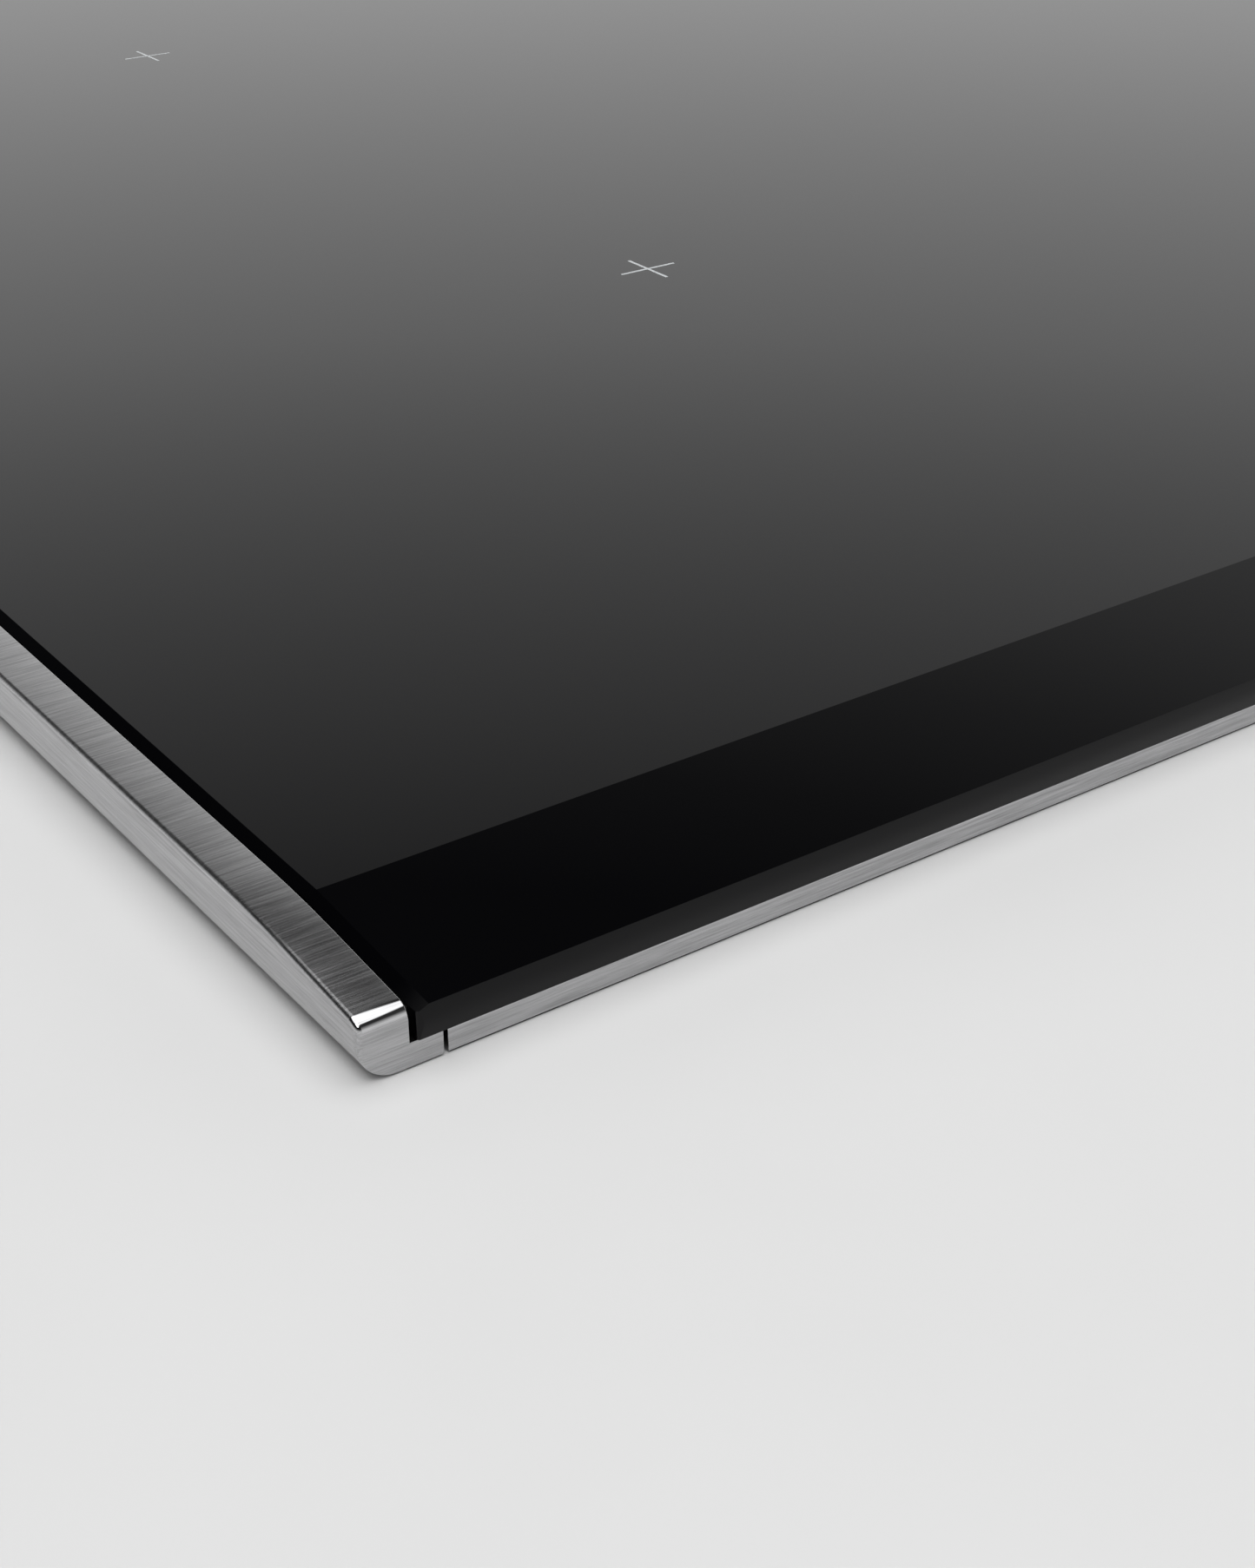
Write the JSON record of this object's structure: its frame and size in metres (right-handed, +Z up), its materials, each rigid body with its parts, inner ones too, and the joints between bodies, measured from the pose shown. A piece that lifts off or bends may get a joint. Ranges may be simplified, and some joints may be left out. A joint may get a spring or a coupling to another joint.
{
  "type": "electric induction cooktop",
  "caption": "Built-in induction cooktop: black glass plate with a ground front facet, brushed steel side trims, casing with coils, fans, sprung clips and a hinged terminal cover.",
  "frame": {"origin": "bottom centre of the whole cooktop, on the underside of the casing", "axes": "+X to the user's right, +Y to the back, +Z up; the worktop surface is at z = 0.051 m"},
  "size_m": [0.606, 0.527, 0.0605],
  "materials": {
    "black_glass_ceramic": "polished black glass-ceramic",
    "brushed_stainless": "fine brushed stainless steel",
    "black_silicone": "matt black silicone",
    "grey_foam": "soft closed-cell foam",
    "galvanised_sheet": "galvanised sheet steel",
    "zinc_screw": "zinc-plated steel",
    "aluminium_sheet": "mill-finish sheet",
    "aluminium_extrusion": "extruded, fine die lines",
    "black_polyamide": "moulded, fine grain",
    "grey_polyamide": "moulded, fine grain",
    "white_polyamide": "moulded, smooth",
    "ferrite": "sintered ferrite",
    "mica": "pressed mica sheet",
    "copper_litz": "enamelled copper litz wire",
    "spring_steel": "spring steel",
    "circuit_board": "solder-resist glass fibre laminate",
    "black_epoxy": "moulded epoxy",
    "grey_film_box": "plastic box filled with resin",
    "brass_screw": "plated brass",
    "conductive_foam": "conductive rubber",
    "display_housing": "tinted epoxy face",
    "white_ceramic": "unglazed ceramic"
  },
  "bodies": {
    "hob": {"board_studs": "black_polyamide", "cable_gland": "black_polyamide", "capacitors": "grey_film_box", "carrier_frame": "galvanised_sheet", "casing_tray": "galvanised_sheet", "coil_carrier_front_left": "grey_polyamide", "coil_carrier_front_right": "grey_polyamide", "coil_carrier_rear_left": "grey_polyamide", "coil_carrier_rear_right": "grey_polyamide", "coil_plate": "aluminium_sheet", "coil_springs": "spring_steel", "coil_winding_front_left": "copper_litz", "coil_winding_front_right": "copper_litz", "coil_winding_rear_left": "copper_litz", "coil_winding_rear_right": "copper_litz", "control_board": "circuit_board", "control_carrier": "black_polyamide", "displays": "display_housing", "edge_seal_left": "black_silicone", "edge_seal_right": "black_silicone", "fan_housing_left": "black_polyamide", "fan_housing_right": "black_polyamide", "ferrite_bars": "ferrite", "filter_board": "circuit_board", "filter_chokes": "ferrite", "frame_screws": "zinc_screw", "glass_adhesive": "black_silicone", "glass_panel": "black_glass_ceramic", "heatsink_left": "aluminium_extrusion", "heatsink_right": "aluminium_extrusion", "mica_sheets": "mica", "plate_posts": "black_polyamide", "plate_screws": "zinc_screw", "power_board_left": "circuit_board", "power_board_right": "circuit_board", "power_transistors": "black_epoxy", "sensor_spring_front_left": "spring_steel", "sensor_spring_front_right": "spring_steel", "sensor_spring_rear_left": "spring_steel", "sensor_spring_rear_right": "spring_steel", "strip_front": "brushed_stainless", "strip_rear": "brushed_stainless", "terminal_block": "white_polyamide", "terminal_box": "black_polyamide", "terminal_screws": "brass_screw", "touch_springs": "conductive_foam", "trim_left": "brushed_stainless", "trim_right": "brushed_stainless", "worktop_seal": "grey_foam"},
    "rotor_left": {"fan_rotor_left": "grey_polyamide"},
    "rotor_right": {"fan_rotor_right": "grey_polyamide"},
    "sensor_front_left": {"sensor_front_left": "white_ceramic"},
    "sensor_rear_left": {"sensor_rear_left": "white_ceramic"},
    "sensor_front_right": {"sensor_front_right": "white_ceramic"},
    "sensor_rear_right": {"sensor_rear_right": "white_ceramic"},
    "latch_front_left": {"clip_front_left": "spring_steel"},
    "latch_rear_left": {"clip_rear_left": "spring_steel"},
    "latch_front_right": {"clip_front_right": "spring_steel"},
    "latch_rear_right": {"clip_rear_right": "spring_steel"},
    "cover": {"terminal_cover": "grey_polyamide"}
  },
  "joints": [
    {"name": "rotor_left_spin", "type": "hinge", "parent": "hob", "child": "rotor_left", "pos_m": [-0.177, 0.14, 0.015], "axis": [0, 0, 1], "continuous": true},
    {"name": "rotor_right_spin", "type": "hinge", "parent": "hob", "child": "rotor_right", "pos_m": [0.177, 0.14, 0.015], "axis": [0, 0, 1], "continuous": true},
    {"name": "sensor_front_left_slide", "type": "slide", "parent": "hob", "child": "sensor_front_left", "axis": [0, 0, 1], "range_m": [-0.0015, 0], "stiffness_N_per_m": 300, "springref_m": 0.002, "deforming": ["sensor_spring_front_left"]},
    {"name": "sensor_rear_left_slide", "type": "slide", "parent": "hob", "child": "sensor_rear_left", "axis": [0, 0, 1], "range_m": [-0.0015, 0], "stiffness_N_per_m": 300, "springref_m": 0.002, "deforming": ["sensor_spring_rear_left"]},
    {"name": "sensor_front_right_slide", "type": "slide", "parent": "hob", "child": "sensor_front_right", "axis": [0, 0, 1], "range_m": [-0.0015, 0], "stiffness_N_per_m": 300, "springref_m": 0.002, "deforming": ["sensor_spring_front_right"]},
    {"name": "sensor_rear_right_slide", "type": "slide", "parent": "hob", "child": "sensor_rear_right", "axis": [0, 0, 1], "range_m": [-0.0015, 0], "stiffness_N_per_m": 300, "springref_m": 0.002, "deforming": ["sensor_spring_rear_right"]},
    {"name": "clip_front_left_swing", "type": "hinge", "parent": "hob", "child": "latch_front_left", "pos_m": [-0.2776, -0.13, 0.012], "axis": [0, 1, 0], "range_deg": [0, 10], "stiffness_Nm_per_rad": 1.5, "springref_deg": -2.86},
    {"name": "clip_rear_left_swing", "type": "hinge", "parent": "hob", "child": "latch_rear_left", "pos_m": [-0.2776, 0.13, 0.012], "axis": [0, 1, 0], "range_deg": [0, 10], "stiffness_Nm_per_rad": 1.5, "springref_deg": -2.86},
    {"name": "clip_front_right_swing", "type": "hinge", "parent": "hob", "child": "latch_front_right", "pos_m": [0.2776, -0.13, 0.012], "axis": [0, -1, 0], "range_deg": [0, 10], "stiffness_Nm_per_rad": 1.5, "springref_deg": -2.86},
    {"name": "clip_rear_right_swing", "type": "hinge", "parent": "hob", "child": "latch_rear_right", "pos_m": [0.2776, 0.13, 0.012], "axis": [0, -1, 0], "range_deg": [0, 10], "stiffness_Nm_per_rad": 1.5, "springref_deg": -2.86},
    {"name": "terminal_cover_hinge", "type": "hinge", "parent": "hob", "child": "cover", "pos_m": [-0.014, 0.2418, 0.0288], "axis": [1, 0, 0], "range_deg": [0, 95]}
  ]
}
